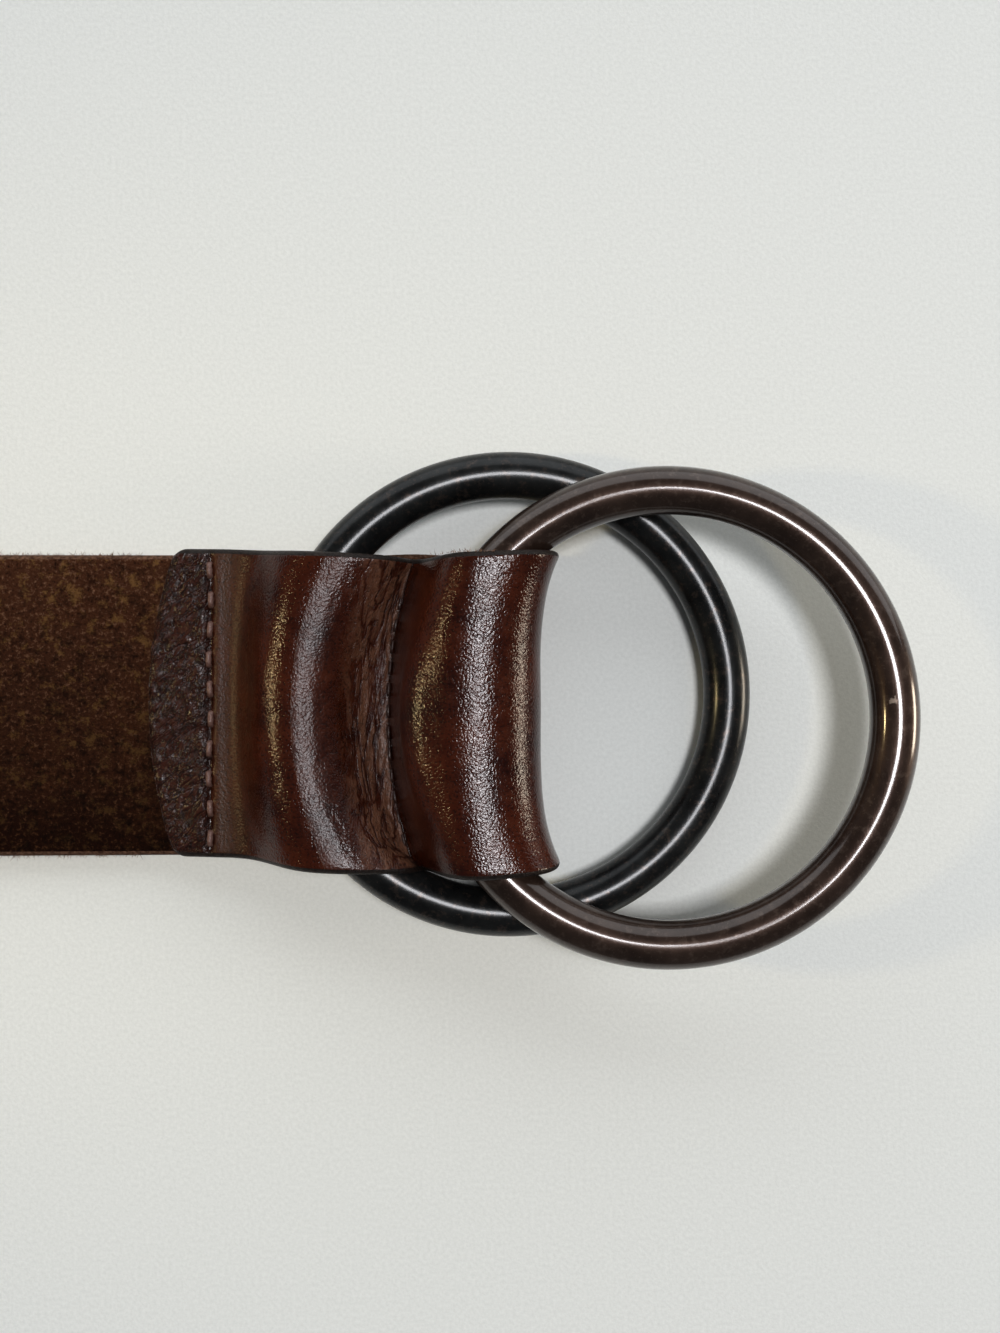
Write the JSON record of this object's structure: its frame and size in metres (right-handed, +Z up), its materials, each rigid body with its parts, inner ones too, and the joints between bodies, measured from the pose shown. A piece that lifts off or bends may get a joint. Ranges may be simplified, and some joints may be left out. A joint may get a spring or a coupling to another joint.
{
  "type": "double ring belt",
  "caption": "Wide leather belt laid flat, its end folded round one plain metal ring and back over a second, stitched down between and behind them.",
  "frame": {"origin": "middle of the belt's box, on the surface it lies on", "axes": "+X along the strap towards the rings, +Z up from the surface, +Y across the strap"},
  "size_m": [1.0086, 0.0833, 0.0206],
  "materials": {
    "leather": "waxed brown leather with a raw fibrous back",
    "dark_ring": "blackened steel, satin, slightly worn",
    "brown_ring": "dark bronze, polished, slightly worn"
  },
  "bodies": {
    "root": {"strap": "leather", "ring_1": "dark_ring", "ring_2": "brown_ring"}
  },
  "joints": []
}
